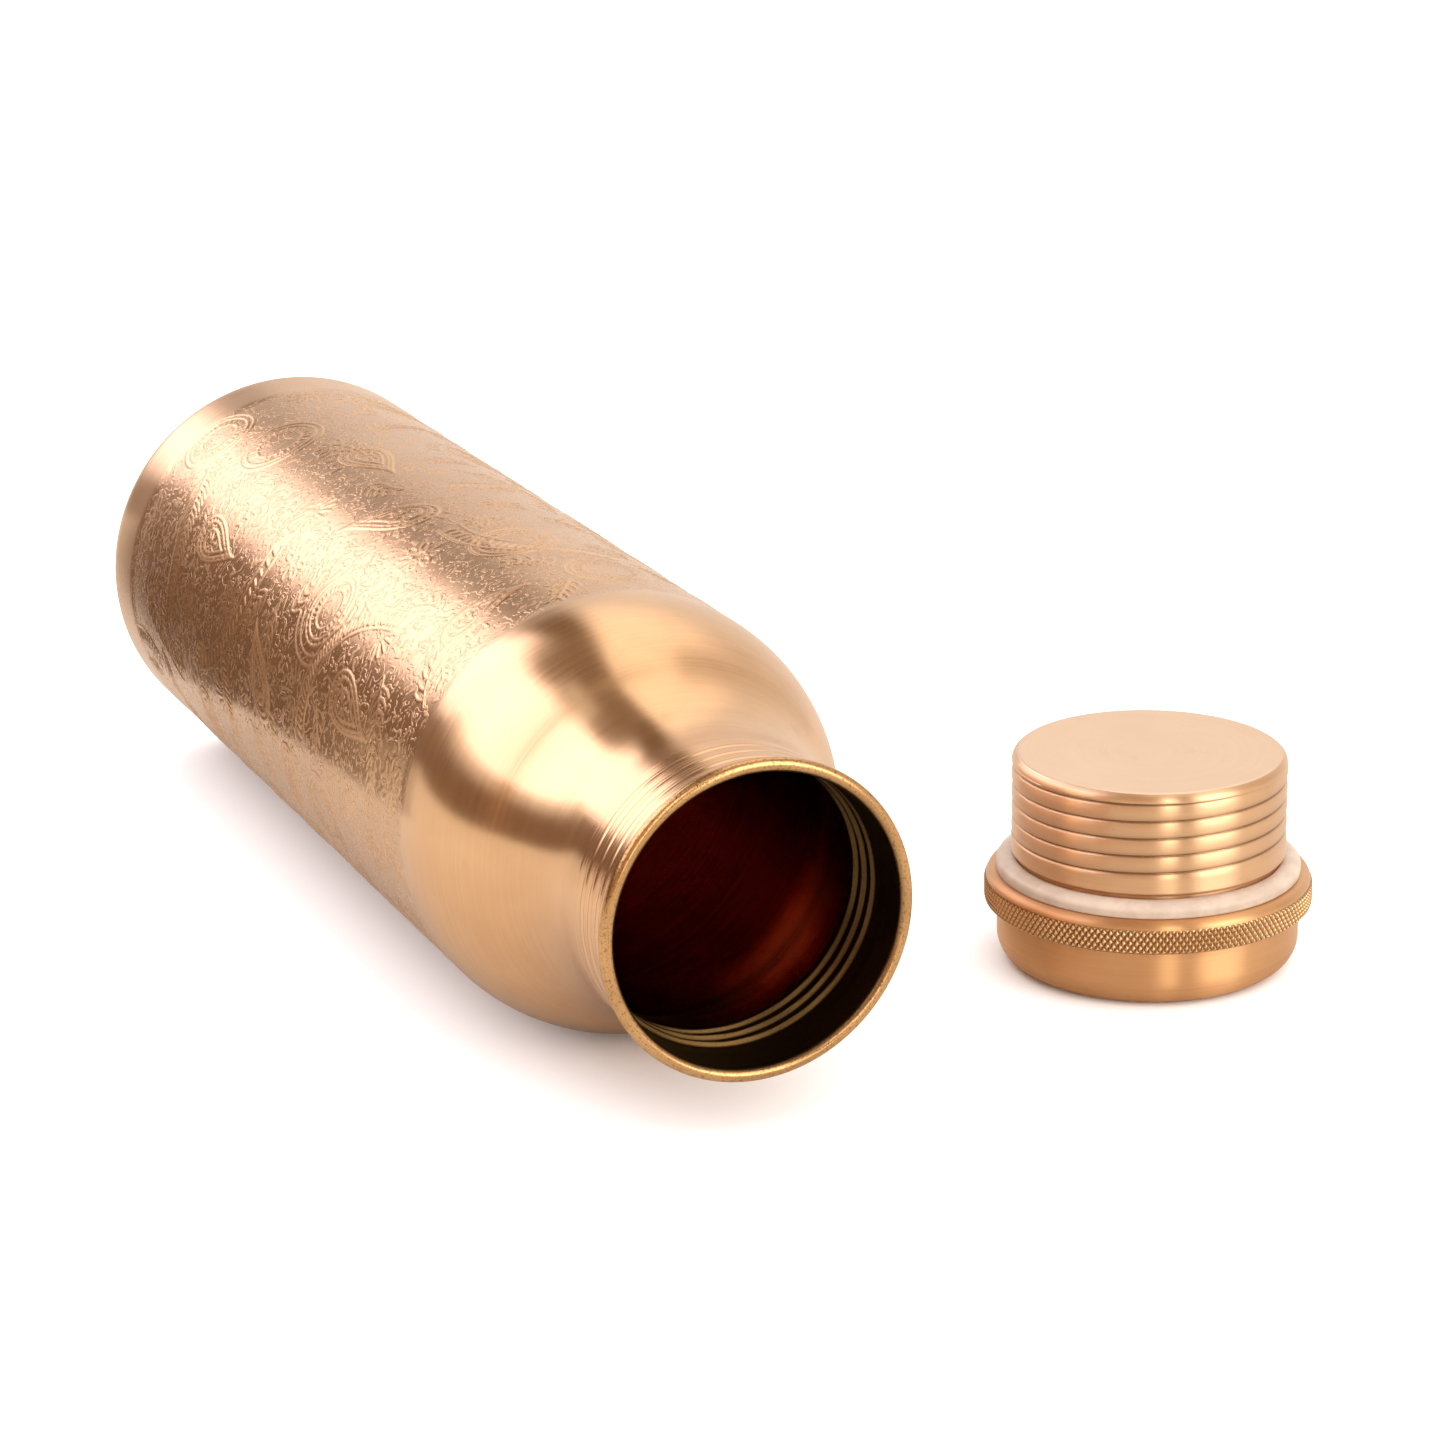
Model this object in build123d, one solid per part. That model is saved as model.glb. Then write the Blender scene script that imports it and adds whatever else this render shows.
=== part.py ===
from build123d import *
import math
import os

# Engraved copper water bottle with its screw cap off. The bottle lies on its side on the
# surface, axis along Y, mouth towards -Y. The cap stands upside down beside the mouth, its
# outer top on the surface and its threaded plug up. Millimetres, +Z up, origin at the centre
# of the bottom of the whole object's box.

# ---- driving dimensions: bottle ----
body_r = 36.5  # outer radius of the straight body
bottle_len = 232.0  # mouth plane to base
wall = 0.8  # thickness of the copper sheet
base_edge_r = 6.0  # rounding between body and base
foot_r = 24.0  # inner radius of the flat ring that the bottle stands on
punt_depth = 1.5  # how far the centre of the base is dished in
neck_r = 24.6  # outer radius of the neck
neck_len = 18.5  # mouth plane to the end of the straight neck
shoulder_len = 57.3  # mouth plane to the start of the straight body
shoulder_r = 36.5  # convex radius of the shoulder
bead_r = 1.1  # section radius of the rim, curled outwards
# ---- driving dimensions: thread, right hand, the same on neck and plug ----
pitch = 3.0
ridge_crest_r = 22.8  # inner radius of the neck's rolled ridge
ridge_crest_w = 0.4
ridge_foot_w = 0.9
land_len = 9.0  # plain wall between the mouth and the ridge
ridge_end = 17.5  # mouth plane to the inner end of the ridge
ridge_root_step = 0.3  # the wall between the ridge's turns stands this far inside the plain wall
# ---- driving dimensions: cap, heights from its outer top ----
shell_r = 25.7
shell_h = 10.7
shell_edge_r = 5.0
ring_r = 27.9
ring_band_h = 4.1  # height of the gripped band
ring_seat_z = 16.2  # face that carries the gasket
ring_spigot_h = 2.0  # step that locates the ring inside the shell
plug_root_r = 22.5
plug_crest_r = 23.36
plug_low_z = 1.3  # the plug's open end, clear of the shell's rounded corner
plug_top_z = 37.0
plug_edge_r = 1.2
plug_wall = 1.0
plug_thread_z = 20.0  # where the crest begins above the plain root
relief_z = 23.4  # middle of the relief groove that the thread runs out into
relief_w = 1.5  # width of the relief groove at the crest
relief_root_w = 0.6
groove_w = 1.1  # width of the plug's thread groove at its crest
groove_root_w = 0.3
plug_clock = -107.7  # turn of the plug about the cap's axis, where its groove starts
gasket_r = 25.9
gasket_hole_r = 22.8
gasket_t = 2.3
gasket_edge_t = 0.8  # its thickness at the outer edge, below the sloping top
gasket_top_r = 23.7  # where the slope meets the narrow flat top
gasket_gap = 0.3  # the soft ring hangs this far clear of its seat
# ---- layout on the surface ----
cap_dx = 92.0  # cap axis from the bottle axis, along X
cap_dy = 43.8  # cap axis behind the mouth plane, along Y

spare = 5.0  # a thread is cut on a longer blank, which is then trimmed
groove_step = 0.05  # the plug's thread groove is this much shallower than its plain root
bottle_x = -(cap_dx + ring_r - body_r) / 2
base_y = bottle_len / 2
cap_x = bottle_x + cap_dx
cap_y = cap_dy - bottle_len / 2


def revolved(*edges):
    """Solid of revolution about Z of a closed outline drawn as (radius, height)."""
    outline = make_face(Wire(edges))
    return revolve(Plane.XZ * outline, axis=Axis.Z)


def chain(*points):
    """Straight edges through the points, in order."""
    return [Line(a, b) for a, b in zip(points, points[1:])]


def helix_groove(z_from, z_to, outline):
    """Cutter for a thread: an outline of (radius, height) swept along a helix about Z."""
    start_r = outline[0][0]
    path = Helix(pitch=pitch, height=z_to - z_from, radius=start_r, center=(0, 0, z_from))
    section = make_face(Polyline(*[(r - start_r, z) for r, z in outline], close=True))
    start = Plane(origin=(start_r, 0, z_from), x_dir=(1, 0, 0), z_dir=(0, -1, 0))
    return sweep(start * section, path=path, is_frenet=True)


def tube(inner_r, outer_r, low, high):
    """Plain round tube about Z, or a rod when inner_r is 0."""
    corners = ((inner_r, low), (outer_r, low), (outer_r, high), (inner_r, high), (inner_r, low))
    return revolved(*chain(*corners))


def shoulder(offset):
    """The two tangent arcs from body to neck, moved inwards by offset, from body to neck."""
    rise = shoulder_len - neck_len
    drop = body_r - neck_r
    radii = (rise**2 + drop**2) / (2 * drop)
    turn = math.degrees(math.asin(rise / radii))
    body_top = bottle_len - shoulder_len
    neck_low = bottle_len - neck_len
    neck_blend_r = radii - shoulder_r
    convex = CenterArc((body_r - shoulder_r, body_top), shoulder_r - offset, 0, turn)
    concave = CenterArc((neck_r + neck_blend_r, neck_low), neck_blend_r + offset, 180 + turn, -turn)
    return convex, concave


def bottle_body():
    """One seamless drawn shell: dished base, body, shoulder, threaded neck and curled rim."""
    inner_r = body_r - wall
    bore_r = neck_r - wall
    body_top = bottle_len - shoulder_len
    neck_low = bottle_len - neck_len
    bead_z = bottle_len - bead_r
    bead_x = bore_r + bead_r
    bead_meet = math.degrees(math.acos((bead_x - neck_r) / bead_r))
    bead_low = bead_z - bead_r * math.sin(math.radians(bead_meet))

    out_convex, out_concave = shoulder(0)
    in_convex, in_concave = shoulder(wall)
    outside = [
        *chain((0, punt_depth), (foot_r - punt_depth, punt_depth), (foot_r, 0)),
        Line((foot_r, 0), (body_r - base_edge_r, 0)),
        CenterArc((body_r - base_edge_r, base_edge_r), base_edge_r, -90, 90),
        Line((body_r, base_edge_r), (body_r, body_top)),
        out_convex,
        out_concave,
        Line((neck_r, neck_low), (neck_r, bead_low)),
        CenterArc((bead_x, bead_z), bead_r, 180 + bead_meet, 360 - bead_meet),
    ]
    inside = [
        Line((bore_r, bead_z), (bore_r, neck_low)),
        in_concave,
        in_convex,
        Line((inner_r, body_top), (inner_r, base_edge_r)),
        CenterArc((body_r - base_edge_r, base_edge_r), base_edge_r - wall, 0, -90),
        *chain(
            (body_r - base_edge_r, wall),
            (foot_r + wall / 2, wall),
            (foot_r - punt_depth + wall / 2, punt_depth + wall),
            (0, punt_depth + wall),
            (0, punt_depth),
        ),
    ]
    return revolved(*outside, *inside) + neck_ridge(bore_r)


def neck_ridge(bore_r):
    """Helical ridge inside the neck: a groove in a longer tube, trimmed to the ridge's length."""
    depth = bore_r - ridge_crest_r
    outer_r = bore_r + wall / 2  # its back lies inside the neck's wall
    low = bottle_len - ridge_end
    high = bottle_len - land_len
    over = 0.5  # the groove's outline starts inside the crest
    half_crest = (pitch - ridge_crest_w) / 2
    half_foot = (pitch - ridge_foot_w) / 2
    half_mouth = half_crest + over * (half_crest - half_foot) / depth
    groove = [
        (ridge_crest_r - over, half_mouth),
        (bore_r - ridge_root_step, half_foot),
        (bore_r - ridge_root_step, -half_foot),
        (ridge_crest_r - over, -half_mouth),
    ]
    blank = tube(ridge_crest_r, outer_r + over, low - 2 * spare, high + 2 * spare)
    threaded = blank - helix_groove(low - spare, high + spare, groove)
    trim = revolved(
        *chain(
            (outer_r, low),
            (bore_r, low),
            (ridge_crest_r, low + depth),
            (ridge_crest_r, high - depth),
            (bore_r, high),
            (outer_r, high),
            (outer_r, low),
        )
    )
    return trim & threaded


def cap_shell():
    """Drawn copper cup that closes the cap's outer end."""
    inner_r = shell_r - wall
    corner = (shell_r - shell_edge_r, shell_edge_r)
    return revolved(
        Line((0, 0), (shell_r - shell_edge_r, 0)),
        CenterArc(corner, shell_edge_r, -90, 90),
        *chain((shell_r, shell_edge_r), (shell_r, shell_h), (inner_r, shell_h), (inner_r, shell_edge_r)),
        CenterArc(corner, shell_edge_r - wall, 0, -90),
        *chain((shell_r - shell_edge_r, wall), (0, wall), (0, 0)),
    )


def knurled_ring():
    """Turned grip ring, pressed on the plug's root and stepped into the shell's open edge."""
    band_top = shell_h + ring_band_h
    dome_r = gasket_r
    edge = 0.3  # chamfer under the band, so that its lower edge stays crisp
    spigot_r = shell_r - wall
    return revolved(
        *chain(
            (plug_root_r, shell_h - ring_spigot_h),
            (spigot_r, shell_h - ring_spigot_h),
            (spigot_r, shell_h),
            (ring_r - edge, shell_h),
            (ring_r, shell_h + edge),
            (ring_r, band_top - edge),
        ),
        ThreePointArc((ring_r, band_top - edge), (ring_r - 0.73, band_top + 0.87), (dome_r, ring_seat_z)),
        *chain((dome_r, ring_seat_z), (plug_root_r, ring_seat_z), (plug_root_r, shell_h - ring_spigot_h)),
    )


def threaded_plug():
    """Hollow closed plug: plain root, collar, relief groove, thread and rounded closed end."""
    inner_r = plug_root_r - plug_wall
    edge = (plug_crest_r - plug_edge_r, plug_top_z - plug_edge_r)
    depth = plug_crest_r - plug_root_r
    blank = revolved(
        *chain(
            (inner_r, plug_low_z),
            (plug_root_r, plug_low_z),
            (plug_root_r, plug_thread_z - depth),
            (plug_crest_r, plug_thread_z),
            (plug_crest_r, relief_z - relief_w / 2),
            (plug_root_r, relief_z - relief_root_w / 2),
            (plug_root_r, relief_z + relief_root_w / 2),
            (plug_crest_r, relief_z + relief_w / 2),
            (plug_crest_r, edge[1]),
        ),
        CenterArc(edge, plug_edge_r, 0, 90),
        *chain(
            (edge[0], plug_top_z),
            (0, plug_top_z),
            (0, plug_top_z - plug_wall),
            (inner_r, plug_top_z - plug_wall),
            (inner_r, plug_low_z),
        ),
    )
    over = 0.4  # the groove's outline starts outside the crest
    half_mouth = groove_w / 2 + over * (groove_w - groove_root_w) / 2 / depth
    groove = [
        (plug_crest_r + over, half_mouth),
        (plug_root_r + groove_step, groove_root_w / 2),
        (plug_root_r + groove_step, -groove_root_w / 2),
        (plug_crest_r + over, -half_mouth),
    ]
    rod = tube(0, plug_crest_r, -spare, plug_top_z + 2 * spare)
    return blank & (rod - helix_groove(relief_z, plug_top_z + spare, groove))


def gasket():
    """Soft sealing ring on the ring's seat, loose round the plug's root, with a sloping top."""
    low = ring_seat_z + gasket_gap
    high = low + gasket_t
    soft = 0.25  # broken outer edges
    return revolved(
        *chain(
            (gasket_hole_r, low),
            (gasket_r - soft, low),
            (gasket_r, low + soft),
            (gasket_r, low + gasket_edge_t),
            (gasket_r - soft, low + gasket_edge_t + soft),
            (gasket_top_r, high),
            (gasket_hole_r, high),
            (gasket_hole_r, low),
        )
    )


lie_down = Pos(bottle_x, base_y, body_r) * Rot(90, 0, 0)
beside = Pos(cap_x, cap_y, 0)
nodes = {
    "bottle_body": lie_down * bottle_body(),
    "cap_shell": beside * cap_shell(),
    "knurled_ring": beside * knurled_ring(),
    "threaded_plug": beside * Rot(0, 0, plug_clock) * threaded_plug(),
    "gasket": beside * gasket(),
}

os.makedirs("parts", exist_ok=True)
for name, shape in nodes.items():
    export_step(shape, f"parts/{name}.step")
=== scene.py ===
import math

import bpy
import numpy as np
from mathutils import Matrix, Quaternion, Vector


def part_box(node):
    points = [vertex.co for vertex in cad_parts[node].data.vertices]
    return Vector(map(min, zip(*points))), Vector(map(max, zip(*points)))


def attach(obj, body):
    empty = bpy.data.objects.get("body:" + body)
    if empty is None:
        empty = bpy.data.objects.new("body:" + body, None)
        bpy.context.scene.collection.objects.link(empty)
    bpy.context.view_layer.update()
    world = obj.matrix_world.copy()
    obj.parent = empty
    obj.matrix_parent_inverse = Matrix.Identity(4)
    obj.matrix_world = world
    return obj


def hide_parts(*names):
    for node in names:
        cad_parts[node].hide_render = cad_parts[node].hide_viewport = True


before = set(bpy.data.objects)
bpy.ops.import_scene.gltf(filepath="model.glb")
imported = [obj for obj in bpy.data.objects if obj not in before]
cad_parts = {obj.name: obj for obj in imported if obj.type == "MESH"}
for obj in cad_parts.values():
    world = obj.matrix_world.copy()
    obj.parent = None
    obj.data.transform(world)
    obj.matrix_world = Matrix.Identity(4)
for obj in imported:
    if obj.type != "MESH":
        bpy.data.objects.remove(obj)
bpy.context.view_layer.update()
MM = 0.001

# ---- places and sizes, in millimetres, from the CAD boxes ----
bottle_lo, bottle_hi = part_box("bottle_body")
shell_lo, shell_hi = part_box("cap_shell")
plug_lo, plug_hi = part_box("threaded_plug")
ring_lo, ring_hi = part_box("knurled_ring")
gasket_lo, gasket_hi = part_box("gasket")
BODY_R = (bottle_hi.x - bottle_lo.x) / 2 / MM
LENGTH = (bottle_hi.y - bottle_lo.y) / MM
AXIS = Vector(((bottle_lo.x + bottle_hi.x) / 2, bottle_lo.y, (bottle_lo.z + bottle_hi.z) / 2))
CAP = Vector(((shell_lo.x + shell_hi.x) / 2, (shell_lo.y + shell_hi.y) / 2, shell_lo.z))
SHELL_R = (shell_hi.x - shell_lo.x) / 2 / MM
SHELL_H = (shell_hi.z - shell_lo.z) / MM
RING_R = (ring_hi.x - ring_lo.x) / 2 / MM
RING_TOP = (ring_hi.z - shell_lo.z) / MM
PLUG_R = (plug_hi.x - plug_lo.x) / 2 / MM
PLUG_TOP = (plug_hi.z - shell_lo.z) / MM
PLUG_LOW = (plug_lo.z - shell_lo.z) / MM
GASKET_R = (gasket_hi.x - gasket_lo.x) / 2 / MM
GASKET_LOW = (gasket_lo.z - shell_lo.z) / MM
GASKET_HIGH = (gasket_hi.z - shell_lo.z) / MM

# ---- the bottle's own sizes, in millimetres, as its CAD body has them ----
WALL = 0.8
NECK_R = 24.6
NECK_LEN = 18.5
SHOULDER_LEN = 57.3
SHOULDER_R = 36.5
BEAD_R = 1.1
PITCH = 3.0
EDGE_R = 6.0
FOOT_R = 24.0
PUNT = 1.5

# ---- the cap's own sizes ----
PLUG_ROOT_R = 22.5
SHELL_EDGE_R = 5.0
FIT = 0.06

# ---- the engraved field ----
ENGRAVED_FROM = 59.0
ENGRAVED_TO = 216.5
ENGRAVED_DEPTH = 0.12
FIELD_FADE = 3.0

# ---- camera: where it looks from (degrees), how far away and at what (metres) ----
CAMERA_TURN = -23.44
CAMERA_DOWN = 18.24
CAMERA_ROLL = -1.0
CAMERA_DISTANCE = 0.73965
CAMERA_AIM = Vector((0.00114, -0.00309, 0.02929))


def smooth(x, low, high):
    t = np.clip((np.asarray(x, float) - low) / (high - low), 0.0, 1.0)
    return t * t * (3 - 2 * t)


def arc(centre, radius, start, end, count):
    """Points (radius, height) of an arc, angles in degrees."""
    a = np.radians(np.linspace(start, end, count))
    return [(centre[0] + radius * math.cos(t), centre[1] + radius * math.sin(t)) for t in a]


def run(start, end, step):
    """Points of a straight line, both ends included, about step apart."""
    count = max(1, int(math.ceil(math.dist(start, end) / step)))
    return [tuple(np.add(start, np.multiply(np.subtract(end, start), i / count))) for i in range(count + 1)]


def joined(*parts):
    """One list of points without repeated neighbours."""
    points = []
    for part in parts:
        for p in part:
            if not points or math.dist(points[-1], p) > 1e-4:
                points.append(p)
    return points


# ---- turned meshes ----
def triangles(faces):
    """Quads split in two, triangles as they are."""
    if faces.shape[1] == 3:
        return faces
    return np.concatenate([faces[:, [0, 1, 2]], faces[:, [0, 2, 3]]])


class Turned:
    """A surface of rings about an axis. Each ring has its own angles, radii and heights."""

    def __init__(self, place):
        self.place = place
        self.co = []
        self.faces = []
        self.mats = []
        self.values = {}
        self.count = 0
        self.last = None

    def pole(self, height, mat=0):
        """A single point on the axis, which closes the surface there."""
        self._add(np.zeros(1), np.zeros(1), np.full(1, height), mat, {})

    def ring(self, angles, radius, height, mat=0, **values):
        """The next ring. Further values become point attributes that the materials read."""
        radius = np.broadcast_to(np.asarray(radius, float), angles.shape)
        height = np.broadcast_to(np.asarray(height, float), angles.shape)
        self._add(angles, radius, height, mat, values)

    def _add(self, angles, radius, height, mat, values):
        first = self.count
        self.co.append(self.place(angles, radius, height))
        for key in set(self.values) | set(values):
            column = np.broadcast_to(np.asarray(values.get(key, 0.0), float), angles.shape)
            self.values.setdefault(key, []).append((first, column))
        self.count += len(angles)
        if self.last is not None:
            self._bridge(self.last, (first, angles), mat)
        self.last = (first, angles)

    def _bridge(self, a, b, mat):
        """Faces between two rings: quads, a fan at a pole, or triangles where the counts differ."""
        (fa, aa), (fb, ab) = a, b
        if len(aa) == len(ab) and np.allclose(aa, ab):
            i = np.arange(len(aa))
            j = (i + 1) % len(aa)
            self.faces.append(np.stack([fa + i, fa + j, fb + j, fb + i], 1))
            self.mats.append(np.full(len(i), mat))
            return
        if len(aa) == 1 or len(ab) == 1:
            many, one, flip = (fb, fa, False) if len(aa) == 1 else (fa, fb, True)
            i = np.arange(len(ab) if len(aa) == 1 else len(aa))
            j = (i + 1) % len(i)
            tri = [np.full(len(i), one), many + j, many + i]
            self.faces.append(np.stack(tri[::-1] if flip else tri, 1))
            self.mats.append(np.full(len(i), mat))
            return
        tris = []
        i = j = 0
        na, nb = len(aa), len(ab)
        ga = np.append(aa, aa[0] + 2 * math.pi)
        gb = np.append(ab, ab[0] + 2 * math.pi)
        while i < na or j < nb:
            if j >= nb or (i < na and ga[i + 1] <= gb[j + 1]):
                tris.append((fa + i % na, fa + (i + 1) % na, fb + j % nb))
                i += 1
            else:
                tris.append((fa + i % na, fb + (j + 1) % nb, fb + j % nb))
                j += 1
        self.faces.append(np.array(tris))
        self.mats.append(np.full(len(tris), mat))

    def close(self):
        """Joins the last ring to the first one."""
        first = len(self.co[0])
        n = self.count
        i = np.arange(first)
        j = (i + 1) % first
        self.faces.append(np.stack([n - first + i, n - first + j, j, i], 1))
        self.mats.append(np.full(first, self.mats[-1][-1]))

    def build(self, name, materials):
        co = np.concatenate(self.co).astype(np.float32)
        loops = np.concatenate([f.ravel() for f in self.faces]).astype(np.int32)
        sizes = np.concatenate([np.full(len(f), f.shape[1]) for f in self.faces]).astype(np.int32)
        starts = np.concatenate([[0], np.cumsum(sizes)[:-1]]).astype(np.int32)
        mesh = bpy.data.meshes.new(name)
        mesh.vertices.add(len(co))
        mesh.vertices.foreach_set("co", co.ravel())
        mesh.loops.add(len(loops))
        mesh.loops.foreach_set("vertex_index", loops)
        mesh.polygons.add(len(sizes))
        mesh.polygons.foreach_set("loop_start", starts)
        mesh.polygons.foreach_set("material_index", np.concatenate(self.mats).astype(np.int32))
        mesh.update(calc_edges=True)
        mesh.validate()
        p = co[np.concatenate([triangles(f) for f in self.faces])].astype(float)
        volume = np.einsum("ij,ij->i", p[:, 0], np.cross(p[:, 1], p[:, 2])).sum()
        if volume < 0:
            mesh.flip_normals()
        mesh.polygons.foreach_set("use_smooth", np.ones(len(mesh.polygons), bool))
        for key, parts in self.values.items():
            data = np.zeros(len(co), np.float32)
            for first, column in parts:
                data[first : first + len(column)] = column
            mesh.attributes.new(key, "FLOAT", "POINT").data.foreach_set("value", data)
        obj = bpy.data.objects.new(name, mesh)
        bpy.context.scene.collection.objects.link(obj)
        for m in materials:
            mesh.materials.append(m)
        return obj


def on_bottle(angle, radius, s):
    """Angle from the top towards -X, and the distance from the mouth."""
    x = AXIS.x - radius * MM * np.sin(angle)
    z = AXIS.z + radius * MM * np.cos(angle)
    return np.stack([x, AXIS.y + s * MM, z], 1)


def on_cap(angle, radius, z):
    """Angle from +X towards +Y, and the height above the cap's outer top."""
    x = CAP.x + radius * MM * np.cos(angle)
    y = CAP.y + radius * MM * np.sin(angle)
    return np.stack([x, y, CAP.z + z * MM], 1)


def even(count):
    return np.linspace(-math.pi, math.pi, count, endpoint=False)


# ---- the engraving, as strokes on the unrolled body ----
class Engraving:
    """Height in millimetres and the clear areas, on a grid of distance from the mouth and angle."""

    def __init__(self, rows, angles):
        self.s = rows
        self.u = angles * BODY_R
        self.turn = 2 * math.pi * BODY_R
        self.height = np.zeros((len(rows), len(angles)))
        self.clear = np.zeros_like(self.height)

    def stroke(self, points, width, height, clear=0.0):
        """A raised line of that half width. With clear, a margin without ground texture beside it."""
        p = np.asarray(points, float)
        if clear:
            clear = 0.15 + 0.4 * clear
        reach = max(width, clear) + 0.5
        rows = np.where((self.s > p[:, 0].min() - reach) & (self.s < p[:, 0].max() + reach))[0]
        mid = (p[:, 1].min() + p[:, 1].max()) / 2
        half = (p[:, 1].max() - p[:, 1].min()) / 2 + reach
        off = (self.u - mid + self.turn / 2) % self.turn - self.turn / 2
        cols = np.where(np.abs(off) < half)[0]
        if not len(rows) or not len(cols):
            return
        s = self.s[rows][:, None]
        u = (off[cols] + mid)[None, :]
        best = np.full((len(rows), len(cols)), 1e9)
        for (s0, u0), (s1, u1) in zip(p[:-1], p[1:]):
            ds, du = s1 - s0, u1 - u0
            t = np.clip(((s - s0) * ds + (u - u0) * du) / max(ds * ds + du * du, 1e-9), 0, 1)
            best = np.minimum(best, (s - s0 - t * ds) ** 2 + (u - u0 - t * du) ** 2)
        d = np.sqrt(best)
        part = np.ix_(rows, cols)
        self.height[part] = np.maximum(self.height[part], height * (1 - smooth(d, 0.15 * width, width)))
        if clear:
            self.clear[part] = np.maximum(self.clear[part], 1 - smooth(d, clear - 0.25, clear + 0.15))


# s runs from the mouth to the base and u round the body, both in millimetres
def circle(s, u, r, start=0, end=360, count=28):
    a = np.radians(np.linspace(start, end, count))
    return np.stack([s + r * np.cos(a), u + r * np.sin(a)], 1)


def turned(points, s, u, angle):
    """Points turned about the origin and moved to (s, u)."""
    c, n = math.cos(math.radians(angle)), math.sin(math.radians(angle))
    p = np.asarray(points, float)
    return np.stack([s + p[:, 0] * c - p[:, 1] * n, u + p[:, 0] * n + p[:, 1] * c], 1)


def teardrop(size, bend, count=44):
    """Comma-shaped outline with its tip along +s."""
    t = np.linspace(0, 2 * math.pi, count)
    x = -np.cos(t)
    q = (x + 1) / 2
    y = np.sin(t) * (1 - 0.55 * q)
    return np.stack([size * (x + 0.12 * q), size * (0.62 * y * (1 - q**3) + bend * q**2.2)], 1)


def paisley(e, s, u, size, angle, bend):
    """Three nested comma shapes: ribs between the outer two, a small fan inside and rays round the head."""
    for scale, width, clear in ((1.0, 0.391, 0.95), (0.8, 0.345, 0.75), (0.52, 0.345, 0.55)):
        outline = teardrop(size * scale, bend)
        outline[:, 0] -= size * (1 - scale) * 0.18
        e.stroke(turned(outline, s, u, angle), width, ENGRAVED_DEPTH, clear)
    outer = teardrop(size * 0.95, bend, 60)
    inner = teardrop(size * 0.82, bend, 60)
    for a, b in list(zip(outer, inner))[1:-1:2]:
        e.stroke(turned([a, b], s, u, angle), 0.26, 0.1)
    for k in range(7):
        t = math.radians(40 * k - 80)
        tip = (size * 0.36 * math.cos(t) - size * 0.25, size * 0.22 * math.sin(t))
        root = (-size * 0.25 + size * 0.1 * math.cos(t), size * 0.08 * math.sin(t))
        e.stroke(turned([root, tip], s, u, angle), 0.3, 0.1)
    for k in range(9):
        t = math.radians(110 + 140 * k / 8)
        a = (size * 1.1 * math.cos(t), size * 0.74 * math.sin(t))
        b = (size * 1.32 * math.cos(t), size * 0.95 * math.sin(t))
        e.stroke(turned([a, b], s, u, angle), 0.28, 0.1, 0.5)


def medallion(e, s, u, r, start=0, end=360):
    """Three concentric arcs with short ribs between the inner two."""
    e.stroke(circle(s, u, r, start, end), 0.34, 0.11, 1.0)
    e.stroke(circle(s, u, r * 0.84, start, end), 0.3, 0.11, 0.8)
    e.stroke(circle(s, u, r * 0.55, start, end), 0.3, 0.1, 0.5)
    for a in np.radians(np.arange(start, end, 14)):
        c, n = math.cos(a), math.sin(a)
        e.stroke([(s + r * 0.58 * c, u + r * 0.58 * n), (s + r * 0.7 * c, u + r * 0.7 * n)], 0.26, 0.09)


def fan(e, s, u, inner, outer, start, end, count):
    """Straight rays between two radii."""
    for a in np.radians(np.linspace(start, end, count)):
        c, n = math.cos(a), math.sin(a)
        e.stroke([(s + inner * c, u + inner * n), (s + outer * c, u + outer * n)], 0.32, 0.11, 0.55)


def flower(e, s, u, r, turn=0.0):
    """A small ring with looped petals round it."""
    petals = 8
    e.stroke(circle(s, u, r * 0.28, count=14), 0.26, 0.1, 0.45)
    for k in range(petals):
        a = turn + 360 * k / petals
        loop = circle(r * 0.66, 0, 1.0, count=14)
        loop = np.stack([(loop[:, 0] - r * 0.66) * r * 0.3 + r * 0.66, loop[:, 1] * r * 0.17], 1)
        e.stroke(turned(loop, s, u, a), 0.26, 0.1, 0.4)


def bowed(start, end, bow, count):
    """A line that bows to one side by that share of its length."""
    a, b = np.asarray(start, float), np.asarray(end, float)
    t = np.linspace(0, 1, count)[:, None]
    side = np.array([-(b - a)[1], (b - a)[0]])
    return a + (b - a) * t + side * bow * 4 * t * (1 - t)


def sprig(e, start, end, bow, leaf):
    """A stem with pairs of short leaves, about 2 mm apart."""
    stem = bowed(start, end, bow, 24)
    e.stroke(stem, 0.3, 0.11, 0.7)
    length = np.hypot(*(stem[-1] - stem[0]))
    every = max(1, int(round(2.0 * 23 / length)))
    for k in range(2, 23, every):
        way = stem[k] - stem[k - 1]
        way /= np.hypot(*way)
        for side in (-1, 1):
            out = way * 0.75 + side * np.array([-way[1], way[0]])
            size = leaf * (1 - 0.5 * k / 23)
            root = stem[k] + out * 0.35
            bend = stem[k] + out * size * 0.65
            tip = stem[k] + out * size + way * size * 0.35
            e.stroke([root, bend, tip], 0.3, 0.11, 0.45)


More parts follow.
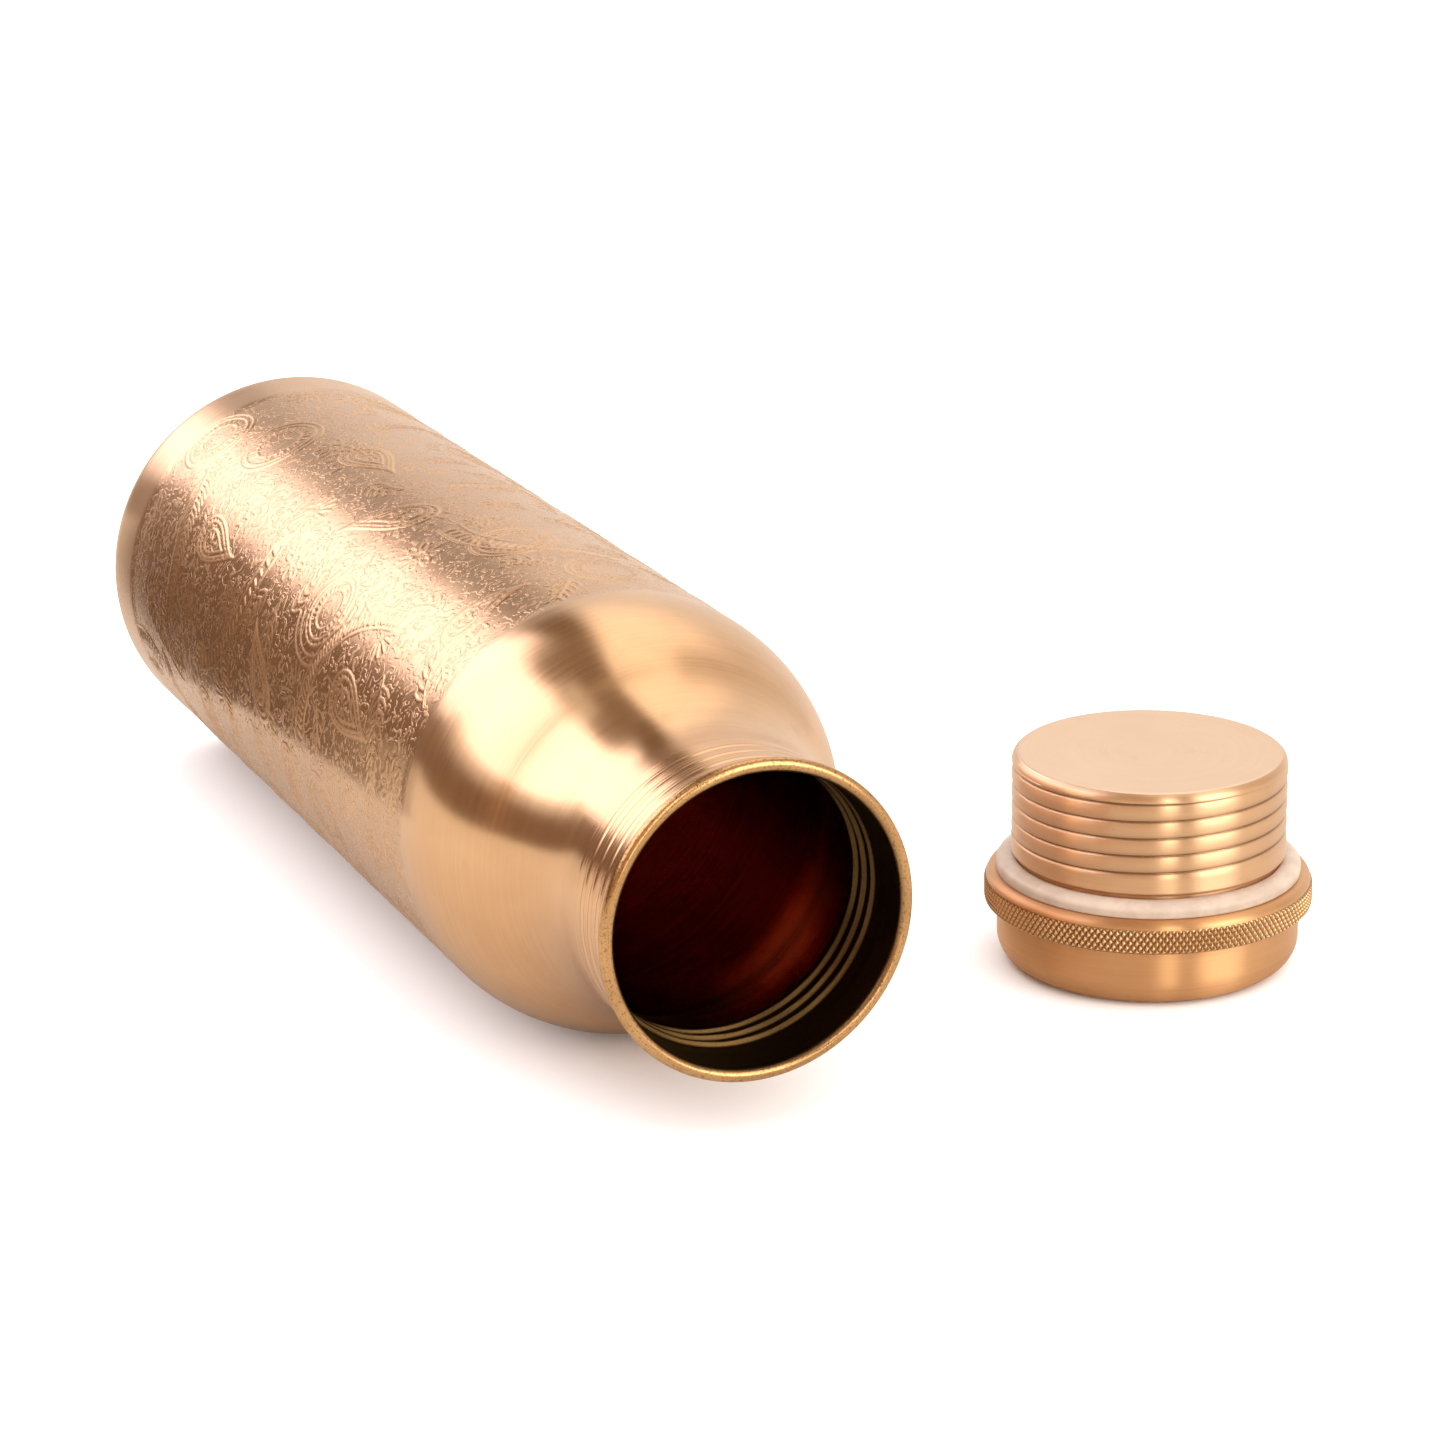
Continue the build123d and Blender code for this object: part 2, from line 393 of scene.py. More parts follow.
def rope(e, start, end, bow):
    """Two lines with beads between them."""
    width = 1.1
    mid = bowed(start, end, bow, 40)
    way = np.gradient(mid, axis=0)
    way /= np.hypot(way[:, 0], way[:, 1])[:, None]
    side = np.stack([-way[:, 1], way[:, 0]], 1)
    e.stroke(mid + side * (width + 0.8), 0.3, 0.11, 0.7)
    e.stroke(mid - side * (width + 0.8), 0.3, 0.11, 0.7)
    e.stroke(mid, 0.01, 0.0, width + 0.8)
    every = max(1, int(round(1.35 * 39 / np.hypot(*(mid[-1] - mid[0])))))
    for k in range(1, 39, every):
        slant = side[k] * width * 0.72 + way[k] * 0.3
        e.stroke([mid[k] - slant, mid[k] + slant], 0.42, 0.13)


def towards(angle, length):
    """A step of that length in that direction, in degrees from +s."""
    a = math.radians(angle)
    return length * np.array([math.cos(a), math.sin(a)])


def large_motif(e, rng, kind, s, u, angle):
    """A comma shape, a medallion, a rope with a fan, or a sprig."""
    if kind in (0, 1):
        paisley(e, s, u, rng.uniform(7.5, 9.5), angle, rng.choice([-0.5, 0.5]))
    elif kind == 2:
        medallion(e, s, u, rng.uniform(6.5, 8.5))
    elif kind == 3:
        half = towards(angle, 8)
        rope(e, (s, u) - half, (s, u) + half, rng.uniform(-0.25, 0.25))
        fan(e, s, u, 3.2, 6.0, angle + 50, angle + 130, 6)
    else:
        half = towards(angle, 8)
        sprig(e, (s, u) - half, (s, u) + half, rng.uniform(-0.15, 0.15), 3.2)


def small_motif(e, rng, kind, s, u, angle):
    """A flower or a short sprig, for the gaps between large motifs."""
    if kind == 0:
        flower(e, s, u, rng.uniform(3.8, 4.8), turn=angle)
    else:
        half = towards(angle, 4.5)
        sprig(e, (s, u) - half, (s, u) + half, rng.uniform(-0.2, 0.2), 2.6)


LARGE_TRIALS = 900
SMALL_TRIALS = 1700
LARGE_SPACING = 17.5
SMALL_SPACING = 11.5
FIELD_MARGIN = 5.0
# centres of the motifs that are given one by one
PAISLEYS = [(92, 46), (137, 52), (176, 38), (128, 12), (74, 18), (160, 4)]
MEDALLIONS = [(116, 33), (96, 2), (188, 14)]
FANS_AND_ROPES = [(116, 49), (150, 21), (100, 40), (160, 44), (98, -2)]
SPRIGS = [(79, 46), (131, 48), (195, 40)]
FLOWERS = [(158, 44), (66.5, 50), (106, 16), (208, 40), (140, 30)]


def engrave(rows, angles):
    """The pattern: motifs given one by one on the upper side, and seeded ones everywhere else."""
    e = Engraving(rows, angles)
    rope(e, (88, 27), (112, 56), -0.24)
    rope(e, (150, 30), (171, 58), 0.22)
    rope(e, (84, -12), (112, 8), 0.2)
    sizes = (9.5, 9.0, 9.0, 9.5, 8.0, 9.0)
    angles = (150, -35, 160, 25, -70, 200)
    bends = (0.55, -0.5, 0.55, 0.55, -0.5, -0.5)
    for (s, u), size, angle, bend in zip(PAISLEYS, sizes, angles, bends):
        paisley(e, s, u, size, angle, bend)
    for (s, u), r in zip(MEDALLIONS, (7.0, 7.5, 8.5)):
        medallion(e, s, u, r)
    medallion(e, *MEDALLIONS[0], 10.5, 20, 200)
    fan(e, 92.5, 31, 2.0, 4.8, 90, 270, 9)
    fan(e, 116, 49, 2.2, 6.0, -80, 110, 10)
    fan(e, 150, 21, 2.0, 5.0, 60, 300, 11)
    sprig(e, (83, 36), (75, 57), 0.08, 3.2)
    sprig(e, (136, 37), (127, 60), -0.1, 3.2)
    sprig(e, (200, 26), (190, 55), 0.1, 3.6)
    sprig(e, (205, 52), (184, 62), -0.12, 3.2)
    sprig(e, (64, 36), (70, 22), 0.15, 2.6)
    sprig(e, (146, -6), (120, -14), 0.2, 3.0)
    for (s, u), r in zip(FLOWERS, (5.0, 4.6, 4.6, 5.0, 4.4)):
        flower(e, s, u, r)
    rng = np.random.default_rng(7)
    taken = PAISLEYS + MEDALLIONS + FANS_AND_ROPES + SPRIGS + FLOWERS
    for trial in range(LARGE_TRIALS + SMALL_TRIALS):
        large = trial < LARGE_TRIALS
        s = rng.uniform(ENGRAVED_FROM + FIELD_MARGIN, ENGRAVED_TO - FIELD_MARGIN)
        u = rng.uniform(-e.turn / 2, e.turn / 2)
        spacing = LARGE_SPACING if large else SMALL_SPACING
        gaps = [math.hypot(s - a, (u - b + e.turn / 2) % e.turn - e.turn / 2) for a, b in taken]
        if min(gaps) < spacing:
            continue
        taken.append((s, u))
        kind = rng.integers(0, 5 if large else 2)
        angle = rng.uniform(0, 360)
        (large_motif if large else small_motif)(e, rng, kind, s, u, angle)
    return e


# ---- node trees ----
class Tree:
    """Short forms for adding and linking nodes."""

    def __init__(self, tree):
        self.tree = tree
        tree.nodes.clear()

    def add(self, kind, values=None, **props):
        node = self.tree.nodes.new(kind)
        for key, value in props.items():
            setattr(node, key, value)
        for key, value in (values or {}).items():
            socket = node.inputs[key]
            if isinstance(value, bpy.types.NodeSocket):
                self.tree.links.new(value, socket)
            else:
                socket.default_value = value
        return node

    def math(self, operation, a, b=0.0, c=0.0):
        return self.add("ShaderNodeMath", {0: a, 1: b, 2: c}, operation=operation).outputs[0]

    def step(self, value, low, high, out_low=0.0, out_high=1.0):
        """A smooth change from out_low to out_high as the value goes from low to high."""
        values = {"Value": value, "From Min": low, "From Max": high, "To Min": out_low, "To Max": out_high}
        return self.add("ShaderNodeMapRange", values, interpolation_type="SMOOTHSTEP").outputs["Result"]

    def mix(self, factor, a, b):
        node = self.add("ShaderNodeMix", data_type="RGBA")
        for key, value in (("Factor_Float", factor), ("A_Color", a), ("B_Color", b)):
            socket = next(x for x in node.inputs if x.identifier == key)
            if isinstance(value, bpy.types.NodeSocket):
                self.tree.links.new(value, socket)
            else:
                socket.default_value = value
        return next(x for x in node.outputs if x.identifier == "Result_Color")

    def noise(self, vector, scale, detail=2.0, rough=0.5, distortion=0.0):
        values = {"Vector": vector, "Scale": scale, "Detail": detail}
        values.update({"Roughness": rough, "Distortion": distortion})
        return self.add("ShaderNodeTexNoise", values).outputs["Fac"]

    def attribute(self, name):
        return self.add("ShaderNodeAttribute", attribute_name=name).outputs["Fac"]


def rgb(r, g, b):
    return (r, g, b, 1.0)


def shade(colour, factor):
    """A colour times a factor, no channel above 1."""
    return rgb(*[min(1.0, c * factor) for c in colour])


BUMP_DEPTH = 0.06 * MM


def brushed(
    name, light, dark, axis, centre, roughness, brush, stretch, speckle=0.0, engraved=False, grooved=False
):
    """Turned and brushed metal: fine lines run round the axis, with soft colour and gloss changes.

    brush is the height of the lines, stretch how far they smear a highlight, speckle the amount of dark
    spots. Engraved adds the ground texture between the strokes, with painted shade and darker oxide on the
    recessed ground and lighter raised strokes, partly a painted highlight; grooved paints shade into the
    mesh's grooves and hollows from their depth attribute.
    """
    material = bpy.data.materials.new(name)
    material.use_nodes = True
    t = Tree(material.node_tree)
    place = t.add("ShaderNodeTexCoord").outputs["Object"]
    offset = t.add("ShaderNodeVectorMath", {0: place, 1: tuple(centre)}, operation="SUBTRACT").outputs[0]
    xyz = t.add("ShaderNodeSeparateXYZ", {0: offset})
    if axis == "Y":
        along, p, q = xyz.outputs["Y"], xyz.outputs["X"], xyz.outputs["Z"]
    else:
        along, p, q = xyz.outputs["Z"], xyz.outputs["X"], xyz.outputs["Y"]
    radius = t.math("SQRT", t.math("ADD", t.math("MULTIPLY", p, p), t.math("MULTIPLY", q, q)))
    across = t.math("MULTIPLY_ADD", radius, 1.37, along)
    lines = t.add("ShaderNodeCombineXYZ", {"X": p, "Y": q, "Z": t.math("MULTIPLY", across, 55.0)}).outputs[0]
    coarse = t.noise(lines, 26.0, 3.0, 0.6)
    fine = t.noise(lines, 90.0, 2.0, 0.6)
    cloud = t.noise(offset, 45.0, 3.0, 0.55)
    stain = t.noise(offset, 160.0, 4.0, 0.6)
    streak = t.math("ADD", t.math("MULTIPLY", coarse, 0.6), t.math("MULTIPLY", fine, 0.4))
    tone = t.math("ADD", t.math("MULTIPLY", cloud, 0.55), t.math("MULTIPLY", streak, 0.45))
    colour = t.mix(t.step(tone, 0.32, 0.66), rgb(*dark), rgb(*light))
    colour = t.mix(t.step(stain, 0.6, 0.82, 0.0, 0.25), colour, shade(dark, 0.55))
    height = t.math("MULTIPLY", streak, brush)
    gloss = t.math("MULTIPLY_ADD", streak, 0.10, roughness - 0.05)
    gloss = t.math("ADD", gloss, t.math("MULTIPLY", cloud, 0.05))
    if speckle:
        spots = t.noise(offset, 2600.0, 2.0, 0.6)
        colour = t.mix(t.step(spots, 0.5, 0.72, 0.0, speckle), colour, shade(dark, 0.4))
        height = t.math("MULTIPLY_ADD", spots, 0.35 * speckle, height)
    if engraved:
        # short worm-like ridges fill the ground between the raised strokes
        relief = t.attribute("relief")
        ground = t.attribute("ground")
        curl = t.noise(offset, 340.0, 1.0, 0.5, 0.7)
        waves = t.math("PINGPONG", t.math("MULTIPLY", curl, 5.0), 0.5)
        ridge = t.step(waves, 0.24, 0.44)
        breaks = t.step(t.noise(offset, 900.0, 1.0), 0.4, 0.52)
        worms = t.math("MULTIPLY", t.math("MULTIPLY", ridge, breaks), ground)
        height = t.math("MULTIPLY_ADD", worms, 0.62, height)
        raised = t.math("MAXIMUM", worms, relief)
        low = t.math("MULTIPLY", t.math("SUBTRACT", 1.0, raised), ground)
        # painted shade with darker oxide on the recessed ground, and lighter raised strokes, partly worn
        # bright and partly a painted highlight
        colour = t.mix(t.math("MULTIPLY", low, 0.24), colour, shade(dark, 0.55))
        colour = t.mix(t.math("MULTIPLY", relief, 0.35), colour, shade(light, 1.08))
        gloss = t.math("MULTIPLY_ADD", raised, 0.16, gloss)
    if grooved:
        # painted shade: grooves and hollows get a darker colour from this attribute, and a little more
        # roughness
        depth = t.attribute("depth")
        colour = t.mix(depth, colour, shade(dark, 0.14))
        gloss = t.math("MULTIPLY_ADD", depth, 0.12, gloss)
    bump = t.add("ShaderNodeBump", {"Strength": 1.0, "Distance": BUMP_DEPTH, "Height": height})
    tangent = t.add("ShaderNodeTangent", direction_type="RADIAL", axis=axis)
    values = {
        "Base Color": colour,
        "Metallic": 1.0,
        "Roughness": gloss,
        "Anisotropic": stretch,
        "Anisotropic Rotation": 0.25,
        "Normal": bump.outputs[0],
        "Tangent": tangent.outputs[0],
    }
    shader = t.add("ShaderNodeBsdfPrincipled", values)
    t.add("ShaderNodeOutputMaterial", {"Surface": shader.outputs[0]})
    return material


# ---- colours: the light and the dark one of each metal ----
COPPER = ((0.80, 0.505, 0.275), (0.69, 0.405, 0.215))
RIM_GOLD = ((0.70, 0.41, 0.18), (0.46, 0.25, 0.10))
RED_COPPER = ((0.60, 0.185, 0.07), (0.30, 0.08, 0.03))
# the bore's brass is far darker than brass: painted shade inside the neck
SHADED_BORE_BRASS = ((0.105, 0.06, 0.021), (0.056, 0.03, 0.011))
CAP_COPPER = ((0.83, 0.48, 0.235), (0.73, 0.385, 0.175))
PLUG_COPPER = ((0.84, 0.55, 0.33), (0.77, 0.475, 0.265))
TOP_COPPER = ((0.87, 0.63, 0.43), (0.82, 0.57, 0.37))
KNURL_BRASS = ((0.80, 0.48, 0.24), (0.66, 0.37, 0.17))


def bottle_metal(name, colours, roughness, brush, stretch, **extra):
    return brushed(name, *colours, "Y", AXIS, roughness, brush, stretch, **extra)


def cap_metal(name, colours, roughness, brush, stretch, **extra):
    return brushed(name, *colours, "Z", CAP, roughness, brush, stretch, **extra)


smooth_copper = bottle_metal("brushed_copper_bottle", COPPER, 0.19, 0.28, 0.7)
engraved_copper = bottle_metal("engraved_copper", COPPER, 0.2, 0.05, 0.4, engraved=True)
rim_gold = bottle_metal("rim_gold", RIM_GOLD, 0.2, 0.5, 0.3, speckle=0.8, grooved=True)
dark_inside = bottle_metal("inside_copper", RED_COPPER, 0.18, 0.7, 0.5, speckle=0.3)
bore_gold = bottle_metal("bore_brass", SHADED_BORE_BRASS, 0.34, 0.5, 0.4, speckle=0.4)
cap_copper = cap_metal("brushed_copper_cap", CAP_COPPER, 0.37, 0.3, 0.95)
plug_copper = cap_metal("brushed_copper_plug", PLUG_COPPER, 0.33, 0.16, 0.95, grooved=True)
top_copper = cap_metal("brushed_copper_top", TOP_COPPER, 0.3, 0.1, 0.15)
knurl_brass = cap_metal("knurled_brass", KNURL_BRASS, 0.22, 0.1, 0.2, grooved=True)


def silicone(name):
    """Soft translucent rubber with a faint grain."""
    material = bpy.data.materials.new(name)
    material.use_nodes = True
    t = Tree(material.node_tree)
    place = t.add("ShaderNodeTexCoord").outputs["Object"]
    cloud = t.noise(place, 300.0, 3.0, 0.6)
    grain = t.noise(place, 4200.0, 2.0, 0.6)
    colour = t.mix(t.step(cloud, 0.3, 0.7), rgb(0.56, 0.44, 0.345), rgb(0.66, 0.53, 0.43))
    gloss = t.math("MULTIPLY_ADD", cloud, 0.14, 0.24)
    height = t.math("MULTIPLY_ADD", grain, 0.5, t.math("MULTIPLY", cloud, 2.0))
    bump = t.add("ShaderNodeBump", {"Strength": 0.5, "Distance": 0.00004, "Height": height})
    values = {
        "Base Color": colour,
        "Roughness": gloss,
        "IOR": 1.41,
        "Transmission Weight": 0.12,
        "Subsurface Weight": 0.5,
        "Subsurface Radius": (1.0, 0.8, 0.65),
        "Subsurface Scale": 0.0012,
        "Normal": bump.outputs[0],
    }
    shader = t.add("ShaderNodeBsdfPrincipled", values)
    t.add("ShaderNodeOutputMaterial", {"Surface": shader.outputs[0]})
    return material


# ---- bottle ----
def shoulder_arcs(offset):
    """The shoulder's two tangent arcs, that distance inside the outer surface."""
    rise = SHOULDER_LEN - NECK_LEN
    drop = BODY_R - NECK_R
    radii = (rise**2 + drop**2) / (2 * drop)
    turn = math.degrees(math.asin(rise / radii))
    blend_r = radii - SHOULDER_R
    convex = arc((BODY_R - SHOULDER_R, SHOULDER_LEN), SHOULDER_R - offset, 0, -turn, 34)
    concave = arc((NECK_R + blend_r, NECK_LEN), blend_r + offset, 180 - turn, 180, 30)
    return convex, concave


def make_bottle():
    # the engraving's columns are finer on the upper side than underneath
    upper = np.radians(np.arange(-45, 105, 0.42))
    under = np.radians(np.arange(105, 315, 0.9))
    fine = np.concatenate([upper, under])
    fine = np.sort((fine + math.pi) % (2 * math.pi) - math.pi)
    plain = even(320)
    inner = even(256)
    body = Turned(on_bottle)
    SMOOTH, ENGRAVED, RIM, BORE, INSIDE = range(5)

    # dished base, foot and base edge
    body.pole(LENGTH - PUNT, SMOOTH)
    base = joined(
        run((1.0, LENGTH - PUNT), (FOOT_R - PUNT - 0.6, LENGTH - PUNT), 3.0),
        arc((FOOT_R - PUNT - 0.5, LENGTH - PUNT + 1.0), 1.0, -90, -45, 5),
        arc((FOOT_R + 0.25, LENGTH - 0.75), 0.75, 135, 90, 5),
        run((FOOT_R + 0.3, LENGTH), (BODY_R - EDGE_R, LENGTH), 1.5),
        arc((BODY_R - EDGE_R, LENGTH - EDGE_R), EDGE_R, 90, 0, 18),
        run((BODY_R, LENGTH - EDGE_R), (BODY_R, ENGRAVED_TO + 1.0), 1.5),
    )
    for r, s in base:
        body.ring(plain, r, s, SMOOTH)

    # engraved body
    rows = np.arange(ENGRAVED_FROM, ENGRAVED_TO, 0.33)
    e = engrave(rows, fine)
    fade_in = smooth(rows, ENGRAVED_FROM, ENGRAVED_FROM + FIELD_FADE)
    fade_out = 1 - smooth(rows, ENGRAVED_TO - FIELD_FADE, ENGRAVED_TO)
    edge = np.minimum(fade_in, fade_out)
    for i in range(len(rows) - 1, -1, -1):
        lift = np.clip(e.height[i], 0, ENGRAVED_DEPTH)
        ground = (1 - e.clear[i]) * edge[i]
        radius = BODY_R - edge[i] * (ENGRAVED_DEPTH - lift)
        mat = ENGRAVED if i < len(rows) - 1 else SMOOTH
        body.ring(fine, radius, rows[i], mat, relief=lift / ENGRAVED_DEPTH, ground=ground)

    # shoulder and neck
    convex, concave = shoulder_arcs(0)
    body.ring(plain, BODY_R, SHOULDER_LEN + 0.9, SMOOTH)
    for r, s in joined(convex, concave):
        body.ring(plain, r, s, SMOOTH)

    # outside of the neck: each turn of the rolled thread shows as a soft swell and two fine grooves
    step = 0.16
    groove_w = 0.24
    groove_depth = 0.12
    swell_height = 0.045
    for s in np.arange(NECK_LEN - step, 2.7, -step):
        phase = (s + PITCH * plain / (2 * math.pi)) % PITCH
        first = np.minimum(phase, PITCH - phase)
        second = np.abs((phase - 1.25 + PITCH / 2) % PITCH - PITCH / 2)
        groove = np.exp(-((first / groove_w) ** 2)) + 0.6 * np.exp(-((second / groove_w) ** 2))
        swell = swell_height * (np.cos(2 * math.pi * (phase - 0.6) / PITCH) - 1)
        fade = smooth(s, 4.2, 5.6) * (1 - smooth(s, 13.0, 15.5))
        body.ring(plain, NECK_R + fade * (swell - groove_depth * groove), s, SMOOTH)

    # curled rim, its inner face darkened with painted shade
    bore = NECK_R - WALL
    centre = (bore + BEAD_R, BEAD_R)
    meet = math.degrees(math.acos((centre[0] - NECK_R) / BEAD_R))
    rim_end = centre[1] + BEAD_R * math.sin(math.radians(meet))
    body.ring(plain, NECK_R, rim_end + 0.08, SMOOTH)
    for r, s in arc(centre, BEAD_R, 180 - meet, -180, 30):
        body.ring(plain, r, s, RIM, depth=0.6 * smooth(centre[0] - r, 0.1, 1.0))

    # bore with its rolled ridge, which fades in and out like the CAD body's
    step = 0.14
    ridge_w = 0.32
    ridge_height = 0.9
    for s in np.arange(BEAD_R + step, NECK_LEN, step):
        phase = (s + PITCH * inner / (2 * math.pi)) % PITCH
        near = np.minimum(phase, PITCH - phase)
        ridge = np.exp(-((near / ridge_w) ** 2)) + 0.12 * np.exp(-(((near - 1.0) / 0.2) ** 2))
        fade = smooth(s, 8.6, 10.2) * (1 - smooth(s, 16.2, 17.6))
        body.ring(inner, bore - ridge_height * ridge * fade, s, BORE)

    # inside of the shoulder, body and base
    convex, concave = shoulder_arcs(WALL)
    for r, s in joined(concave[::-1], convex[::-1]):
        body.ring(inner, r, s, INSIDE)
    inner_r = BODY_R - WALL
    inside = joined(
        run((inner_r, SHOULDER_LEN), (inner_r, LENGTH - EDGE_R), 8.0),
        arc((BODY_R - EDGE_R, LENGTH - EDGE_R), EDGE_R - WALL, 0, 90, 10),
        run((BODY_R - EDGE_R, LENGTH - WALL), (FOOT_R + 0.4, LENGTH - WALL), 2.0),
        run((FOOT_R - PUNT + 0.4, LENGTH - PUNT - WALL), (1.0, LENGTH - PUNT - WALL), 4.0),
    )
    for r, s in inside[1:]:
        body.ring(inner, r, s, INSIDE)
    body.pole(LENGTH - PUNT - WALL, INSIDE)
    return body.build("bottle", [smooth_copper, engraved_copper, rim_gold, bore_gold, dark_inside])


# ---- cap ----
def make_shell():
    around = even(220)
    cup = Turned(on_cap)
    edge = SHELL_EDGE_R
    side = SHELL_R - edge
    lip = 0.25
    cup.pole(0.0)
    outline = joined(
        run((0.6, 0), (side, 0), 2.0),
        arc((side, edge), edge, -90, 0, 16),
        run((SHELL_R, edge), (SHELL_R, SHELL_H - lip), 0.8),
        arc((SHELL_R - lip, SHELL_H - lip), lip, 0, 90, 4),
        run((SHELL_R - 0.3, SHELL_H), (SHELL_R - WALL, SHELL_H), 0.3),
        run((SHELL_R - WALL, SHELL_H), (SHELL_R - WALL, edge), 2.0),
        arc((side, edge), edge - WALL, 0, -90, 10),
        run((side, WALL), (0.6, WALL), 4.0),
    )
    for r, z in outline:
        cup.ring(around, r, z)
    cup.pole(WALL)
    return cup.build("cap_cup", [cap_copper])


def make_ring():
    KNURLED, PLAIN = range(2)
    teeth = 158
    columns_per_tooth = 8
    slant = 2.4
    cut_depth = 0.46
    chamfer = 0.18
    around = even(teeth * columns_per_tooth)
    ring = Turned(on_cap)
    low = SHELL_H + 0.25
    high = SHELL_H + 4.0
    bore = PLUG_ROOT_R + FIT
    spigot_r = SHELL_R - WALL - FIT
    spigot_low = SHELL_H - 2.0

    # spigot inside the cup and the face on the cup's lip, both darkened with painted shade between the parts
    for r, z in ((bore, spigot_low), (spigot_r, spigot_low), (spigot_r, SHELL_H)):
        ring.ring(around, r, z, KNURLED, depth=1.0)
    for r in (26.2, 27.1, RING_R - 0.55):
        ring.ring(around, r, SHELL_H, KNURLED, depth=0.3)
    ring.ring(around, RING_R - 0.42, SHELL_H + 0.12, KNURLED, depth=0.5)

    # diamond knurl: two sets of slanting cuts, shallower at both ends, with painted shade in the cuts
    for z in np.linspace(low, high, 29):
        lead = (z - low) / (high - low)
        a = teeth * around / (2 * math.pi) + slant * lead
        b = teeth * around / (2 * math.pi) - slant * lead
        cut = np.maximum(1 - 3.4 * np.abs(a % 1 - 0.5), 1 - 3.4 * np.abs(b % 1 - 0.5))
        cut = np.clip(cut, 0, 1)
        ends = max(1 - smooth(lead, 0.0, 0.06), smooth(lead, 0.95, 1.0))
        radius = RING_R - cut_depth * cut * (1 - 0.6 * ends) - chamfer * ends
        ring.ring(around, radius, z, KNURLED, depth=0.95 * cut**1.4)
    # painted shade that fades out in the rows just above the knurl
    ring.ring(around, RING_R - 0.30, high + 0.14, KNURLED, depth=0.5)
    ring.ring(around, RING_R - 0.36, high + 0.26, KNURLED, depth=0.3)

    # dome up to the gasket's seat, the seat and the bore
    dome_h = 1.25
    for a in np.radians(np.linspace(8, 90, 14)):
        r = GASKET_R + (RING_R - 0.34 - GASKET_R) * math.cos(a)
        ring.ring(around, r, RING_TOP - dome_h + dome_h * math.sin(a), PLAIN)
    for r in (25.2, 24.5, 23.5, bore):
        ring.ring(around, r, RING_TOP, PLAIN)
    for z in np.linspace(RING_TOP - 1.5, SHELL_H - 1.0, 4):
        ring.ring(around, bore, z, PLAIN)
    ring.close()
    return ring.build("grip_ring", [knurl_brass, cap_copper])


def make_plug():
    SIDE, TOP = range(2)
    around = even(420)
    plug = Turned(on_cap)
    wall = 1.0
    inner = PLUG_ROOT_R - wall
    edge = 1.5
    crest_low = 19.4
    rise_from = crest_low - 0.4
    groove_z = 26.3
    groove_turn = math.radians(240.3)
    groove_w = 0.15
    groove_depth = 0.3
    swell_height = 0.24
    first = groove_z - PITCH * groove_turn / (2 * math.pi)
    plug.ring(around, inner, PLUG_LOW)
    plug.ring(around, PLUG_ROOT_R, PLUG_LOW)
    for z in np.arange(3.0, rise_from, 1.4):
        plug.ring(around, PLUG_ROOT_R, z)

    # collar and thread: soft rounded crests that lean a little, with a narrow groove between them
    for z in np.arange(rise_from, PLUG_TOP - edge, 0.11):
        phase = (z - first - PITCH * around / (2 * math.pi)) % PITCH
        near = np.minimum(phase, PITCH - phase)
        groove = np.exp(-((near / groove_w) ** 2))
        # painted shade: dark in each groove and on the lower part of every band just above it
        dark = 0.62 * groove + 0.42 * np.exp(-phase / 0.6)
        swell = -swell_height * (2 * phase / PITCH - 1) ** 2
        lean = -0.08 * (phase / PITCH)
        on = smooth(z, 22.0, 23.2)
        rise = smooth(z, crest_low - 0.35, crest_low + 0.45)
        crest = PLUG_ROOT_R + (PLUG_R - PLUG_ROOT_R) * rise
        radius = crest + on * (swell + lean - groove_depth * groove)
        plug.ring(around, radius, z, SIDE, depth=np.clip(on * dark, 0, 0.85))

    # rounded top edge and flat top, then the hollow inside
    top = joined(
        arc((PLUG_R - edge, PLUG_TOP - edge), edge, 0, 90, 14),
        run((PLUG_R - edge - 0.4, PLUG_TOP), (0.6, PLUG_TOP), 1.6),
    )
    for r, z in top:
        on_edge = z < PLUG_TOP - 0.1
        plug.ring(around, r - 0.1 * on_edge, z, TOP if z > PLUG_TOP - 0.12 else SIDE)
    plug.pole(PLUG_TOP, TOP)
    plug.pole(PLUG_TOP - wall)
    for r in (0.6, 8.0, 16.0, inner):
        plug.ring(around, r, PLUG_TOP - wall)
    for z in np.arange(PLUG_TOP - 4.0, PLUG_LOW + 2.0, -4.0):
        plug.ring(around, inner, z)
    plug.close()
    return plug.build("screw_plug", [plug_copper, top_copper])


def make_gasket():
    around = even(240)
    ring = Turned(on_cap)
    high = GASKET_HIGH
    low = GASKET_LOW - 0.28
    inner = PLUG_ROOT_R + 0.14
    top_r = 23.5
    edge = 0.35
    bevel = 0.3
    shelf = low + 1.1
    wave = 0.03 * np.sin(3 * around + 0.6) + 0.02 * np.sin(7 * around)
    slope = [
        (top_r + (GASKET_R - top_r) * math.cos(a), shelf + (high - shelf) * math.sin(a))
        for a in np.radians(np.arange(7.5, 91, 7.5))
    ]
    outline = joined(
        run((inner, low), (GASKET_R - edge, low), 0.5),
        arc((GASKET_R - edge, low + edge), edge, -90, 0, 6),
        run((GASKET_R, low + edge), (GASKET_R, shelf), 0.3),
        slope,
        run((top_r, high), (inner + bevel, high), 0.4),
        run((inner + bevel, high), (inner, high - bevel), 0.2),
        run((inner, high - bevel), (inner, low + bevel), 0.4),
    )
    for r, z in outline:
        lift = (wave - 0.05) * smooth(z, low + 0.1, high)
        ring.ring(around, r, z + lift)
    ring.close()
    return ring.build("seal_ring", [silicone("translucent_silicone")])


